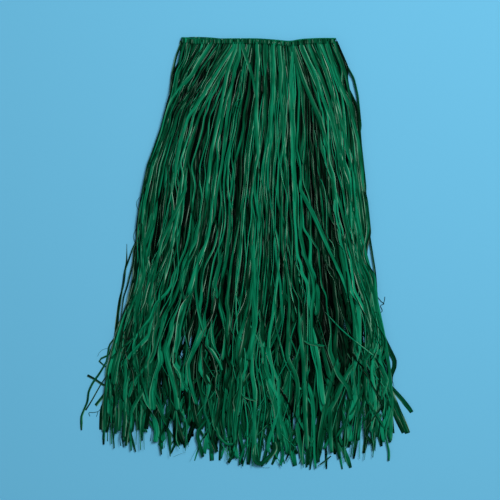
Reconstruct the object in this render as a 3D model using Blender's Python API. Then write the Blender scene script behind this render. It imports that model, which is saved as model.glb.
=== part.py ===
"""A dyed raffia grass skirt laid flat on a surface, front side up.

The waistband is one closed ring of looped raffia, pressed flat. Four layers of raffia locks hang from its
lower edge: the outer and inner layer of the front, and the inner and outer layer of the back, which lies on
the surface. +X is to the wearer's left as seen from the front, +Y runs up to the waist and +Z up from the
surface. The origin is the bottom centre of the skirt's box. Units are metres.
"""

import math
import random
from collections import namedtuple

import bmesh
import bpy
import numpy as np

# Driving sizes
SKIRT_LENGTH = 0.800  # top edge of the waistband to the longest tip
BAND_LEFT = -0.120  # the waistband's two folds, so it is 285 mm wide laid flat
BAND_RIGHT = 0.165
BAND_HEIGHT = 0.010
BAND_WALL = 0.0044  # raffia folded over a cord is this thick
BAND_SLIT = 0.0006  # between the front and the back of the flattened waistband
SEAM = 0.0003  # between pieces that meet
CORNER_SPAN = 0.009  # the waistband's edge bends over this much either way

# The waistband's loops, each the head of one bunch of strands
LOOP_COUNT = 60
LOOP_RAISE = 0.0006
LOOP_SINK = 0.0004
TURN_STATIONS = 4  # sections round each fold
BACK_STATIONS = 24  # sections along the back, whose underside is flat

# The locks of raffia
ROOT_STRIP = 0.004  # height of the strip that the roots are fused into
LOCK_THICKNESS = 0.0024
LAYER_COUNT = 4
HIP_DROP = 0.190  # where the fan of the strands eases off
LEVELS = (0.058, 0.125, 0.215, 0.330, 0.450, 0.570, 0.672)  # drops of the sections shared by a layer
END_MARGIN = 0.0035  # the strips stop this far inside the waistband's folds
LOCK_FILL = (0.62, 0.92)  # least and most of the room beside its neighbours that a lock takes
TIP_TAPER = (0.50, 0.95)  # least and most of its width that a lock keeps at the tip
TIP_SHORTEST = 0.055  # how much shorter than the hem line a tip may be
LONGEST_LOCK = 0.82  # how far across the front the longest lock hangs
STRAY_FILL = 0.80
STRAY_WIDTH = 0.0070  # widest that a stray gets
STRAY_LEAD = 0.05  # a stray keeps to its layer's edge until this far above the first place in its table

# Heights inside a layer, as shares of the layer's own height
STRIP_INSET = 0.12
TIP_LIFT = 0.12  # how far a tip of the lowest layer stands off the surface
LOCK_MOST = 0.70  # most of its layer that a lock fills
LOCK_CLEAR = 0.06
LAYER_MARGIN = 0.03
RISE_TURN = 1.7  # how fast a lock rises and sinks along its length, in radians a section
TILT_TURN = 1.1

# Outline of the whole spread skirt: drop below the waistband's top edge, and its two side edges
Outline = namedtuple("Outline", "drop left right")
OUTLINE = (
    Outline(0.010, -0.120, 0.165),
    Outline(0.058, -0.135, 0.187),
    Outline(0.105, -0.141, 0.201),
    Outline(0.170, -0.159, 0.210),
    Outline(0.236, -0.184, 0.216),
    Outline(0.308, -0.198, 0.224),
    Outline(0.398, -0.206, 0.233),
    Outline(0.486, -0.219, 0.241),
    Outline(0.540, -0.239, 0.252),
    Outline(0.603, -0.255, 0.263),
    Outline(0.667, -0.262, 0.268),
    Outline(0.741, -0.265, 0.266),
    Outline(0.800, -0.262, 0.262),
)

# The ragged hem: share of the way across, and the drop of the longest tips there
Hem = namedtuple("Hem", "share drop")
HEM = (
    Hem(0.00, 0.722),
    Hem(0.08, 0.746),
    Hem(0.22, 0.758),
    Hem(0.34, 0.770),
    Hem(0.45, 0.785),
    Hem(0.65, 0.793),
    Hem(0.85, 0.800),
    Hem(0.93, 0.768),
    Hem(1.00, 0.742),
)

# Height of the pile of strands over the surface, by drop
Pile = namedtuple("Pile", "drop height")
PILE = (
    Pile(0.010, 0.0096),
    Pile(0.100, 0.0145),
    Pile(0.240, 0.0180),
    Pile(0.480, 0.0180),
    Pile(0.650, 0.0150),
    Pile(0.800, 0.0100),
)
EDGE_HEIGHT = 0.52  # the pile's height at its side edges, as a share of that in the middle

# Top edge of the waistband: x, and how far the front and the back edge lie below the highest point
BandEdge = namedtuple("BandEdge", "x front back")
BAND_EDGE = (
    BandEdge(-0.120, 0.0012, 0.0012),
    BandEdge(-0.093, 0.0048, 0.0000),
    BandEdge(-0.064, 0.0046, 0.0012),
    BandEdge(-0.030, 0.0040, 0.0052),
    BandEdge(0.021, 0.0040, 0.0060),
    BandEdge(0.052, 0.0062, 0.0075),
    BandEdge(0.080, 0.0092, 0.0092),
    BandEdge(0.099, 0.0050, 0.0070),
    BandEdge(0.131, 0.0034, 0.0050),
    BandEdge(0.165, 0.0034, 0.0034),
)

# How the strands of a layer fan out: share of the width at the waistband, at the hip and at the hem
Fan = namedtuple("Fan", "root hip hem")
FRONT_OUTER_FAN = (
    Fan(0.100, 0.000, 0.000),
    Fan(0.365, 0.250, 0.300),
    Fan(0.395, 0.320, 0.335),
    Fan(0.540, 0.510, 0.510),
    Fan(0.700, 0.675, 0.680),
    Fan(0.725, 0.755, 0.720),
    Fan(0.880, 0.905, 0.885),
    Fan(1.000, 1.000, 1.000),
)
FRONT_INNER_FAN = (
    Fan(0.000, 0.000, 0.000),
    Fan(0.300, 0.260, 0.280),
    Fan(0.600, 0.610, 0.620),
    Fan(1.000, 1.000, 1.000),
)
BACK_FAN = (
    Fan(0.000, 0.000, 0.000),
    Fan(0.450, 0.480, 0.440),
    Fan(1.000, 1.000, 1.000),
)

# Strands that stray past the outline, each a list of places below the shared levels
Place = namedtuple("Place", "drop x")
LEFT_KINK = (
    Place(0.450, -0.213),
    Place(0.520, -0.233),
    Place(0.566, -0.246),
    Place(0.596, -0.272),
    Place(0.616, -0.258),
    Place(0.646, -0.270),
    Place(0.690, -0.294),
    Place(0.724, -0.302),
)
LEFT_FLYAWAY = (
    Place(0.374, -0.208),
    Place(0.407, -0.219),
    Place(0.466, -0.229),
    Place(0.539, -0.241),
    Place(0.580, -0.253),
    Place(0.640, -0.263),
    Place(0.715, -0.262),
)
RIGHT_LOOP = (
    Place(0.486, 0.239),
    Place(0.548, 0.251),
    Place(0.588, 0.269),
    Place(0.616, 0.271),
    Place(0.645, 0.262),
    Place(0.690, 0.264),
    Place(0.735, 0.262),
)
RIGHT_SPLAY_HIGH = (
    Place(0.570, 0.256),
    Place(0.630, 0.264),
    Place(0.652, 0.270),
    Place(0.690, 0.3005),
)
RIGHT_SPLAY_LOW = (
    Place(0.570, 0.247),
    Place(0.640, 0.254),
    Place(0.662, 0.259),
    Place(0.692, 0.277),
    Place(0.730, 0.2965),
)

# One layer of locks. Strays are listed outermost last on the right side and outermost first on the left.
Layer = namedtuple("Layer", "name level side count fan inset_left inset_right left_strays right_strays seed")
LAYERS = (
    Layer("back_outer_strands", 0, "back", 54, BACK_FAN, 0.010, 0.018,
          (LEFT_KINK,), (RIGHT_SPLAY_LOW, RIGHT_SPLAY_HIGH), 11),
    Layer("back_inner_strands", 1, "back", 54, BACK_FAN, 0.012, 0.013,
          (LEFT_FLYAWAY,), (RIGHT_LOOP,), 23),
    Layer("front_inner_strands", 2, "front", 56, FRONT_INNER_FAN, 0.001, 0.001, (), (), 37),
    Layer("front_outer_strands", 3, "front", 54, FRONT_OUTER_FAN, 0.003, 0.000, (), (), 41),
)

# Slow sideways waves that gather the locks into clumps and open gaps between them
Clump = namedtuple("Clump", "size across along")
CLUMPS = (
    Clump(0.0150, 3.0, 1.1),
    Clump(0.0070, 8.0, 2.3),
    Clump(0.0028, 17.0, 3.7),
)

# One section of a lock: its middle, its width, and its lower and upper level, higher on the right by the tilt
Section = namedtuple("Section", "x drop width low high tilt")

Paint = namedtuple("Paint", "colour roughness")
BAND_PAINT = Paint((0.006, 0.085, 0.048, 1.0), 0.62)
STRAND_PAINT = {
    "front_outer_strands": Paint((0.010, 0.150, 0.085, 1.0), 0.50),
    "front_inner_strands": Paint((0.007, 0.105, 0.058, 1.0), 0.55),
    "back_inner_strands": Paint((0.006, 0.085, 0.048, 1.0), 0.58),
    "back_outer_strands": Paint((0.005, 0.070, 0.040, 1.0), 0.60),
}


def column(rows, name):
    """One named column of a table, as a list."""
    return [getattr(row, name) for row in rows]


def read(rows, at, key, value):
    """A table's value column read along its key column, straight between rows."""
    return float(np.interp(at, column(rows, key), column(rows, value)))


def read_round(rows, at, key, value):
    """The same with the corners between rows rounded over a short span."""
    spots = np.linspace(at - CORNER_SPAN, at + CORNER_SPAN, 9)
    return float(np.mean([read(rows, spot, key, value) for spot in spots]))


def ease(share):
    """0 to 1 with a soft start and end, half way between a straight ramp and a smooth step."""
    share = min(1.0, max(0.0, share))
    return 0.5 * share + 0.5 * share * share * (3 - 2 * share)


def sides(drop, layer):
    """The two side edges of a layer at a drop."""
    below = min(1.0, max(0.0, (drop - BAND_HEIGHT) / HIP_DROP))
    left = read(OUTLINE, drop, "drop", "left") + layer.inset_left * below
    right = read(OUTLINE, drop, "drop", "right") - layer.inset_right * below
    return left, right


def pile_height(x, drop):
    """Height of the pile over the surface, full in the middle and lower towards the side edges."""
    left = read(OUTLINE, drop, "drop", "left")
    right = read(OUTLINE, drop, "drop", "right")
    off_centre = min(1.0, abs(2 * (x - left) / (right - left) - 1))
    slope = min(1.0, max(0.0, (drop - BAND_HEIGHT) / HIP_DROP))  # the band itself is level
    lost = (1 - EDGE_HEIGHT) * slope * off_centre**4
    return read(PILE, drop, "drop", "height") * (1 - lost)


def height_at(x, drop, level):
    """Height of a place that lies so many layers up in the pile."""
    return pile_height(x, drop) * level / LAYER_COUNT


def lock_share(layer, root_share, drop):
    """How far across the skirt a lock lies at a drop. It rises with root_share, so locks never cross."""
    hip_share = read(layer.fan, root_share, "root", "hip")
    hem_share = read(layer.fan, root_share, "root", "hem")
    if drop < HIP_DROP:
        share = root_share + (hip_share - root_share) * ease(drop / HIP_DROP)
    else:
        down = (drop - HIP_DROP) / (SKIRT_LENGTH - HIP_DROP)
        share = hip_share + (hem_share - hip_share) * ease(down)
    swing = ease(drop / SKIRT_LENGTH) * math.sin(math.pi * min(1.0, max(0.0, share)))
    for clump in CLUMPS:
        turn = clump.across * share + clump.along * drop / SKIRT_LENGTH + 0.37 * layer.seed
        share += swing * clump.size * math.sin(2 * math.pi * turn)
    return share


def strip_edge(layer, x):
    """Drop of the waistband's lower edge at x, on the side that the layer hangs from."""
    return read_round(BAND_EDGE, x, "x", layer.side) + BAND_HEIGHT


def to_point(x, drop, z):
    """A place given by its drop, as a point of the model."""
    return (x, SKIRT_LENGTH / 2 - drop, z)


def grow(bm, face, corners):
    """Extrudes one face and moves its far end to the corners, given in the order of the face's vertices."""
    end = bmesh.ops.extrude_discrete_faces(bm, faces=[face])["faces"][0]
    for vert, corner in zip(end.verts, corners):
        vert.co = corner
    return end


def make_strip(bm, layer, breaks):
    """The strip that the roots are fused into, one cell for each lock, and the cells' lower faces in order."""

    def ring(x):
        top = strip_edge(layer, x) + SEAM
        high = height_at(x, BAND_HEIGHT, layer.level + 1 - STRIP_INSET)
        low = height_at(x, BAND_HEIGHT, layer.level + STRIP_INSET) if layer.level else 0.0
        spots = ((top, high), (top, low), (top + ROOT_STRIP, low), (top + ROOT_STRIP, high))
        return [to_point(x, drop, height) for drop, height in spots]

    face = bm.faces.new([bm.verts.new(point) for point in ring(breaks[0])])
    start = bmesh.ops.extrude_face_region(bm, geom=[face])["geom"]
    face = next(item for item in start if isinstance(item, bmesh.types.BMFace))
    for vert, corner in zip(face.verts, ring(breaks[1])):
        vert.co = corner
    for x in breaks[2:]:
        face = grow(bm, face, ring(x))
    bmesh.ops.recalc_face_normals(bm, faces=bm.faces)
    lower = [face for face in bm.faces if face.normal.y < -0.7]
    return sorted(lower, key=lambda face: face.calc_center_median().x)


def lock_sections(layer, places, widths, lean):
    """The sections of one lock, which rises, sinks and tilts inside its layer on the way down."""
    sections = []
    for k, ((x, drop), width) in enumerate(zip(places, widths)):
        thick = min(LOCK_MOST, LOCK_THICKNESS * LAYER_COUNT / pile_height(x, drop))
        spare = (1 - thick) / 2 - LOCK_CLEAR
        low = layer.level + LOCK_CLEAR + spare * (1 + math.sin(lean + RISE_TURN * k))
        tilt = min(thick / 4, 0.8 * spare) * math.sin(1.3 * lean + TILT_TURN * k)
        if layer.level == 0:
            low = TIP_LIFT if k == len(places) - 1 else 0.0
            tilt = 0.0
        else:
            low = max(low, layer.level + abs(tilt) + LAYER_MARGIN)
        high = min(low + thick, layer.level + 1 - LAYER_MARGIN - abs(tilt))
        sections.append(Section(x, drop, width, low, high, tilt))
    return sections


def make_lock(bm, face, sections):
    """Draws one lock out of its cell of the strip, section by section."""
    middle = face.calc_center_median()
    keys = [(1 if v.co.x > middle.x else -1, v.co.z > middle.z) for v in face.verts]
    for section in sections:
        corners = []
        for side, upper in keys:
            x = section.x + side * section.width / 2
            level = (section.high if upper else section.low) + side * section.tilt
            corners.append(to_point(x, section.drop, height_at(x, section.drop, level)))
        face = grow(bm, face, corners)


def stray_places(layer, index, root_share, is_left):
    """The (x, drop) places of a stray: down its layer's edge first, then its own table."""
    table = (layer.left_strays if is_left else layer.right_strays)[index]
    places = []
    for drop in LEVELS:
        if drop < table[0].drop - STRAY_LEAD:
            left, right = sides(drop, layer)
            places.append((left + (right - left) * lock_share(layer, root_share, drop), drop))
    return places + [(place.x, place.drop) for place in table]


def make_layer(layer):
    """One layer of locks fused at their roots into a narrow strip under the waistband."""
    rng = random.Random(layer.seed)
    root_low = layer.fan[0].root
    width = BAND_RIGHT - BAND_LEFT - 2 * END_MARGIN
    strip_left = BAND_LEFT + END_MARGIN + width * root_low
    strip_right = BAND_RIGHT - END_MARGIN
    breaks = [strip_left + (strip_right - strip_left) * i / layer.count for i in range(layer.count + 1)]
    shares = [root_low + (1 - root_low) * (i + 0.5) / layer.count for i in range(layer.count)]

    bm = bmesh.new()
    cells = make_strip(bm, layer, breaks)
    lefts = len(layer.left_strays)
    first_right = layer.count - len(layer.right_strays)
    longest = round(LONGEST_LOCK * layer.count) if layer.name == "front_outer_strands" else None

    def lock_x(i, drop):
        left, right = sides(drop, layer)
        return left + (right - left) * lock_share(layer, shares[i], drop)

    def lock_width(i, drop):
        beside = [abs(lock_x(j, drop) - lock_x(i, drop)) for j in (i - 1, i + 1) if 0 <= j < layer.count]
        return min(beside)

    for i, cell in enumerate(cells):
        is_left = i < lefts
        if is_left or i >= first_right:
            places = stray_places(layer, i if is_left else i - first_right, shares[i], is_left)
            room = [lock_width(i, min(drop, LEVELS[-1])) for x, drop in places]
            widths = [min(width * STRAY_FILL, STRAY_WIDTH) for width in room]
        else:
            tip = read(HEM, shares[i], "share", "drop") - rng.random() ** 2 * TIP_SHORTEST
            if i == longest:
                tip = SKIRT_LENGTH
            places = [(lock_x(i, drop), drop) for drop in (*LEVELS, tip)]
            fills = [rng.uniform(*LOCK_FILL) for level in LEVELS]
            fills.append(fills[-1] * rng.uniform(*TIP_TAPER))
            widths = [lock_width(i, drop) * fill for (x, drop), fill in zip(places, fills)]
        make_lock(bm, cell, lock_sections(layer, places, widths, rng.uniform(0, 2 * math.pi)))

    bmesh.ops.recalc_face_normals(bm, faces=bm.faces)
    return finish_mesh(layer.name, bm, STRAND_PAINT[layer.name])


def band_stations():
    """Places round the flattened ring: x, height, outward x and z, side, and whether a loop is raised there."""
    front_z = 1.5 * BAND_WALL + BAND_SLIT
    back_z = 0.5 * BAND_WALL
    radius = (front_z - back_z) / 2
    middle = (front_z + back_z) / 2
    outer = radius + BAND_WALL / 2
    left, right = BAND_LEFT + outer, BAND_RIGHT - outer
    stations = []
    steps = 2 * LOOP_COUNT
    for i in range(steps + 1):
        stations.append((left + (right - left) * i / steps, front_z, 0.0, 1.0, "front", i % 2))
    for i in range(1, TURN_STATIONS + 1):
        angle = math.pi / 2 - math.pi * i / (TURN_STATIONS + 1)
        across, up = math.cos(angle), math.sin(angle)
        side = "front" if up > 0 else "back"
        stations.append((right + radius * across, middle + radius * up, across, up, side, 0))
    for i in range(BACK_STATIONS + 1):
        stations.append((right + (left - right) * i / BACK_STATIONS, back_z, 0.0, -1.0, "back", 0))
    for i in range(1, TURN_STATIONS + 1):
        angle = -math.pi / 2 - math.pi * i / (TURN_STATIONS + 1)
        across, up = math.cos(angle), math.sin(angle)
        side = "front" if up > 0 else "back"
        stations.append((left + radius * across, middle + radius * up, across, up, side, 0))
    return stations


def band_section(side, raised):
    """(outward offset, share of the band's height) round the wall: a rim cord on top of a row of loops."""
    half = BAND_WALL / 2
    if side == "back":
        loop = groove = rim = foot = half
    else:
        loop = half + (LOOP_RAISE if raised else -LOOP_SINK)
        groove = half - LOOP_SINK - (0.0 if raised else LOOP_SINK)
        rim = half + LOOP_RAISE / 2
        foot = half - LOOP_SINK
    return ((-half, 1.0), (foot, 1.0), (loop, 0.66), (groove, 0.38), (rim, 0.20), (0.0, 0.0), (-half, 0.12))


def make_waistband():
    """The closed ring of the waistband, lofted between its sections and pressed flat."""
    bm = bmesh.new()
    rings = []
    for x, z, out_x, out_z, side, raised in band_stations():
        top = read_round(BAND_EDGE, x, "x", side)
        ring = []
        for out, down in band_section(side, raised):
            point = to_point(x + out * out_x, top + down * BAND_HEIGHT, z + out * out_z)
            ring.append(bm.verts.new(point))
        rings.append(ring)
    for ring, after in zip(rings, rings[1:] + rings[:1]):
        for a in range(len(ring)):
            b = (a + 1) % len(ring)
            bm.faces.new((ring[a], ring[b], after[b], after[a]))
    bmesh.ops.recalc_face_normals(bm, faces=bm.faces)
    return finish_mesh("waistband", bm, BAND_PAINT)


def finish_mesh(name, bm, paint):
    """A named object from a bmesh, with its own material, in the skirt's collection."""
    mesh = bpy.data.meshes.new(name)
    bm.to_mesh(mesh)
    bm.free()
    material = bpy.data.materials.new(name)
    material.use_nodes = True
    surface = material.node_tree.nodes["Principled BSDF"]
    surface.inputs["Base Color"].default_value = paint.colour
    surface.inputs["Roughness"].default_value = paint.roughness
    surface.inputs["Metallic"].default_value = 0.0
    mesh.materials.append(material)
    part = bpy.data.objects.new(name, mesh)
    bpy.data.collections["grass_skirt"].objects.link(part)
    return part


def centre_on_box(parts):
    """Moves the skirt so that the origin is the bottom centre of its box."""
    points = np.array([vert.co for part in parts for vert in part.data.vertices])
    low, high = points.min(axis=0), points.max(axis=0)
    middle = (low + high) / 2
    for part in parts:
        for vert in part.data.vertices:
            vert.co.x -= middle[0]
            vert.co.y -= middle[1]


def main():
    for thing in list(bpy.data.objects):
        bpy.data.objects.remove(thing)
    skirt = bpy.data.collections.new("grass_skirt")
    bpy.context.scene.collection.children.link(skirt)
    parts = [make_waistband()]
    parts += [make_layer(layer) for layer in LAYERS]
    centre_on_box(parts)


main()
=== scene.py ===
import math

import bpy
import numpy as np
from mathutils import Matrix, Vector


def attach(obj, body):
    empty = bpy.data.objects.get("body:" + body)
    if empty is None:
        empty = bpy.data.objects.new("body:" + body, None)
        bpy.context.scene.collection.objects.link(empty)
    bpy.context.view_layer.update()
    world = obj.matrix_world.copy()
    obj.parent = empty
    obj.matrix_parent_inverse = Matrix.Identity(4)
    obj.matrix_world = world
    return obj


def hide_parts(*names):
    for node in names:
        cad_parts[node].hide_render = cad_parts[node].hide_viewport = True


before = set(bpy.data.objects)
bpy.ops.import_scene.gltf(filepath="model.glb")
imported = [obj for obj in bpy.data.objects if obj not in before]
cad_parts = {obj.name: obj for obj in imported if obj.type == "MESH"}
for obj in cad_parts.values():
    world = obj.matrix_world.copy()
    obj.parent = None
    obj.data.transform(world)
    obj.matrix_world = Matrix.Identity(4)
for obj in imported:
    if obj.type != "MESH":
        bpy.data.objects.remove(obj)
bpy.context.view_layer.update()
scene = bpy.context.scene
mm = 0.001  # metres

# The skirt lies flat, waist towards +Y. A place on it is x across and drop below the waistband's
# highest point.
skirt = {
    "length": 0.800,
    "bandLeft": -0.120,
    "bandRight": 0.165,
    "bandHeight": 0.010,
    "bandWall": 0.0044,
    "bandSlit": 0.0006,
    "cornerSpan": 0.018,  # over which the corners of the waistband's edge are rounded
    "hipDrop": 0.190,
    "edgeHeight": 0.52,  # the pile's height at its side edges, as a share of the middle's
    "endMargin": 0.0035,  # from the waistband's folds to the nearest roots
    "rootLift": 0.0035,  # from the waistband's lower edge up to the roots
    "shiftX": 0.00075,  # from the waistband's own x to the frame's
    "pixel": 0.001833,  # metres to a pixel of the photo, at the skirt
    "photoX": 246.5,  # photo column of x = 0
    "photoY": 36.0,  # photo row of drop = 0
    "floorGap": 0.0002,
    "lowest": 0.0006,  # middle of the lowest loose blade
    "frontFace": 0.0090,  # height at which the front blades leave the waistband
    "backFace": 0.0009,
}

# drop, left edge, right edge
outline = np.array([
    (0.010, -0.120, 0.165), (0.058, -0.135, 0.187), (0.105, -0.141, 0.201), (0.170, -0.159, 0.210),
    (0.236, -0.184, 0.216), (0.308, -0.198, 0.224), (0.398, -0.206, 0.233), (0.486, -0.219, 0.241),
    (0.540, -0.239, 0.252), (0.603, -0.255, 0.263), (0.667, -0.262, 0.268), (0.741, -0.265, 0.266),
    (0.800, -0.262, 0.262),
])
# share of the way across, drop of the longest tips
hemLine = np.array([
    (0.00, 0.730), (0.08, 0.756), (0.22, 0.760), (0.34, 0.770), (0.45, 0.785), (0.65, 0.793),
    (0.80, 0.797), (0.86, 0.780), (0.91, 0.757), (1.00, 0.740),
])
# drop, height of the pile of blades over the floor
pile = np.array([
    (0.010, 0.0096), (0.100, 0.0145), (0.240, 0.0180), (0.480, 0.0180), (0.650, 0.0150), (0.800, 0.0100),
])
# x, and how far the front and the back edge of the waistband lie below its highest point
bandEdge = np.array([
    (-0.120, 0.0012, 0.0012), (-0.093, 0.0048, 0.0000), (-0.064, 0.0046, 0.0012), (-0.030, 0.0040, 0.0052),
    (0.021, 0.0040, 0.0060), (0.052, 0.0062, 0.0075), (0.080, 0.0092, 0.0092), (0.099, 0.0050, 0.0070),
    (0.131, 0.0034, 0.0050), (0.165, 0.0034, 0.0034),
])

# side (-1 left, 1 right), drop, reach along the edge and depth: slits of backdrop between the pile and a
# stray blade
slits = np.array([
    (-1, 0.040, 0.030, 0.008), (1, 0.094, 0.042, 0.012), (-1, 0.440, 0.070, 0.008), (1, 0.400, 0.050, 0.012),
    (1, 0.598, 0.036, 0.011),
])


def ramp(part):
    part = np.clip(part, 0, 1)
    return part * part * (3 - 2 * part)  # soft at both ends


def rise(value, start, end):
    return ramp((value - start) / (end - start))


def lookUp(table, place, column=1):
    # a table's column at a place in its first column, straight between the rows
    return np.interp(place, table[:, 0], table[:, column])


def sideEdges(drop):
    return lookUp(outline, drop), lookUp(outline, drop, 2)


def belowBand(drop):
    # 0 at the waistband, 1 from the hips down
    return np.clip((drop - skirt["bandHeight"]) / skirt["hipDrop"], 0, 1)


def pileHeight(x, drop):
    # the pile's own height at that drop, less what it loses towards the side edges as the fourth power
    left, right = sideEdges(drop)
    offCentre = np.clip(np.abs(2 * (x - left) / (right - left) - 1), 0, 1)
    return lookUp(pile, drop) * (1 - (1 - skirt["edgeHeight"]) * belowBand(drop) * offCentre**4)


def bandTop(x, side):
    # the mean of the waistband's top edge over the corner span round x
    reach = skirt["cornerSpan"] / 2
    spots = np.asarray(x, float)[..., None] + np.linspace(-reach, reach, 9)
    return lookUp(bandEdge, spots, 1 if side == "front" else 2).mean(axis=-1)


def toFrame(x, drop, z):
    return np.stack([x + skirt["shiftX"], skirt["length"] / 2 - drop, z], axis=-1)


def photoRoute(spots):
    # (column, row) places of the photo as x and drop
    spots = np.array(spots, float)
    return (spots[:, 0] - skirt["photoX"]) * skirt["pixel"], (spots[:, 1] - skirt["photoY"]) * skirt["pixel"]


def wander(rng, drop, wave, soft=1.0):
    # value noise along each blade: a random height every wave metres, joined by S-curves (soft 1) or
    # straight (soft 0)
    place = drop / wave + rng.random((len(drop), 1))
    knot = np.floor(place).astype(int)
    part = place - knot
    part = soft * ramp(part) + (1 - soft) * part
    high = rng.normal(size=(len(drop), knot.max() + 2))
    rows = np.arange(len(drop))[:, None]
    return high[rows, knot] * (1 - part) + high[rows, knot + 1] * part


def unit(vectors):
    return vectors / np.maximum(np.linalg.norm(vectors, axis=-1, keepdims=True), 1e-12)


def pathLength(path):
    # length of each path up to each of its places
    reach = np.linalg.norm(np.diff(path, axis=1), axis=-1).cumsum(axis=1)
    return np.concatenate([np.zeros((len(path), 1)), reach], axis=1)


# What a blade's pale rim, dark rim and ridge add to its tint: the pale rim is a painted highlight, the dark
# rim painted shade and the ridge a slight painted highlight. Also which blades have the pale rim on the left,
# and how much further along the fibre map each blade starts, so that no two share their fibres
bladeShade = {
    "paintedHighlightRim": 0.08,
    "paintedShadeRim": -0.12,
    "ridge": 0.02,
    "paleTurn": 0.618,  # the golden ratio's part, so that left and right mix evenly
    "mapStart": 0.613,
}


def skin(count, steps, sides, closed=False):
    # the quads from each ring of corners to the next one, and a cap at both ends of an open path
    rows, corner = np.arange(steps if closed else steps - 1), np.arange(sides)
    after = (corner + 1) % sides
    starts = np.arange(count)[:, None, None] * steps
    here, there = [(starts + row[:, None]) * sides for row in (rows, (rows + 1) % steps)]
    quads = np.stack([here + corner, there + corner, there + after, here + after], axis=-1)
    faces = quads.reshape(-1, 4).tolist()
    if not closed:
        first = starts[:, 0] * sides
        faces += (first + corner).tolist() + (first + (steps - 1) * sides + corner[::-1]).tolist()
    return faces


def asBatch(path, points, faces, mapAcross, **marks):
    # with a fibre map in metres across and along, and each mark spread over the points
    mapAlong = pathLength(path) + (np.arange(len(path)) * bladeShade["mapStart"])[:, None]
    fibres = np.stack(np.broadcast_arrays(mapAcross, mapAlong[..., None]), axis=-1)
    batch = {"points": points.reshape(-1, 3), "faces": faces, "uv": fibres.reshape(-1, 2)}
    for key, values in marks.items():
        batch[key] = np.broadcast_to(values, points.shape[:3]).reshape(-1)
    return batch


def ribbons(path, width, twist, curl, thick, tint, age, side=None):
    # Blades: a four-cornered section carried along each path. Corners are path -/+ side * width / 2, and the
    # middles of the top and the bottom, raised by curl * width. Side and normal turn round the path by twist.
    count, steps = path.shape[:2]
    full = np.zeros((count, steps))
    width, twist, curl, thick = full + width, full + twist, full + curl, full + thick
    along = unit(np.gradient(path, axis=1))
    if side is None:
        up = unit(np.array([0.0, 0.0, 1.0]) - along[..., 2:] * along)
        side = np.cross(up, along)
    else:
        side = unit(side - (side * along).sum(-1, keepdims=True) * along)
        up = np.cross(along, side)
    turn, tip = np.cos(twist)[..., None], np.sin(twist)[..., None]
    across, normal = side * turn + up * tip, up * turn - side * tip
    half, raised = (width / 2)[..., None], (curl * width)[..., None]
    body = (thick / 2)[..., None]
    base = path - normal * raised / 2
    points = np.stack([
        base - across * half,
        base + normal * (raised + body),
        base + across * half,
        base + normal * (raised - body),
    ], axis=2)
    lowest = skirt["floorGap"] + np.array([0.5, 1.0, 0.5, 0.0]) * thick[..., None]
    points[..., 2] = np.maximum(points[..., 2], lowest)
    # painted light across a blade: one rim a painted highlight, the other painted shade, the ridge lighter
    paleLeft = full + (np.arange(count) * bladeShade["paleTurn"] % 1 < 0.5)[:, None]
    dark, step = bladeShade["paintedShadeRim"], bladeShade["paintedHighlightRim"] - bladeShade["paintedShadeRim"]
    shades = [dark + step * paleLeft, full + bladeShade["ridge"], dark + step * (1 - paleLeft), full]
    return asBatch(
        path, points, skin(count, steps, 4), np.stack([-width / 2, full, width / 2, full], axis=2),
        edge=np.stack([paleLeft, full, 1 - paleLeft, full], axis=2), rim=[True, False, True, False],
        tint=(full + tint)[..., None] + np.stack(shades, axis=2), age=(full + age)[..., None],
    )


def tubes(path, radius, sides, tint, age, closed=False):
    # Cords: a round section of that radius carried along each path, on a frame that keeps its first axis
    # near z
    count, steps = path.shape[:2]
    full = np.zeros((count, steps))
    if closed:
        along = unit(np.roll(path, -1, axis=1) - np.roll(path, 1, axis=1))
    else:
        along = unit(np.gradient(path, axis=1))
    guide = np.where(np.abs(along[..., 2:]) > 0.9, np.array([0.0, 1.0, 0.0]), np.array([0.0, 0.0, 1.0]))
    up = unit(guide - (guide * along).sum(-1, keepdims=True) * along)
    side = np.cross(up, along)
    angle = 2 * np.pi * np.arange(sides) / sides
    ring = side[:, :, None] * np.cos(angle)[:, None] + up[:, :, None] * np.sin(angle)[:, None]
    radius = full + radius
    points = path[:, :, None] + ring * radius[..., None, None]
    points[..., 2] = np.maximum(points[..., 2], skirt["floorGap"])
    faces = [face[::-1] for face in skin(count, steps, sides, closed)]
    return asBatch(path, points, faces, angle * radius[..., None], edge=0.0, rim=False,
                   tint=(full + tint)[..., None], age=(full + age)[..., None])


def makePiece(name, batches, material, node=None):
    # joins the batches into one mesh with its fibre map and its blade attributes, and gives it to the
    # root body
    faces, start = [], 0
    for batch in batches:
        faces += [[corner + start for corner in face] for face in batch["faces"]]
        start += len(batch["points"])
    joined = {}
    for key in ("points", "uv", "edge", "rim", "tint", "age"):
        joined[key] = np.concatenate([batch[key] for batch in batches])
    mesh = bpy.data.meshes.new(name)
    mesh.from_pydata(joined["points"], [], faces)
    mesh.polygons.foreach_set("use_smooth", np.ones(len(mesh.polygons), bool))
    corners = np.empty(len(mesh.loops), np.int32)
    mesh.loops.foreach_get("vertex_index", corners)
    fibres = mesh.uv_layers.new(name="fibres")
    fibres.data.foreach_set("uv", joined["uv"][corners].astype(np.float32).ravel())
    for key in ("edge", "tint", "age"):
        layer = mesh.attributes.new(key, "FLOAT", "POINT")
        layer.data.foreach_set("value", joined[key].astype(np.float32))
    ends = np.empty(len(mesh.edges) * 2, np.int32)
    mesh.edges.foreach_get("vertices", ends)
    ends = ends.reshape(-1, 2)
    onRim = joined["rim"][ends].all(axis=1)
    creases = mesh.attributes.new("sharp_edge", "BOOLEAN", "EDGE")
    creases.data.foreach_set("value", onRim)
    mesh.validate()
    mesh.update()
    piece = bpy.data.objects.new(name, mesh)
    scene.collection.objects.link(piece)
    mesh.materials.append(material)
    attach(piece, "root")
    if node:
        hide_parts(node)
    triangles = sum(len(face) - 2 for face in faces)
    print(name, "made,", triangles, "triangles")
    return piece


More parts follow.
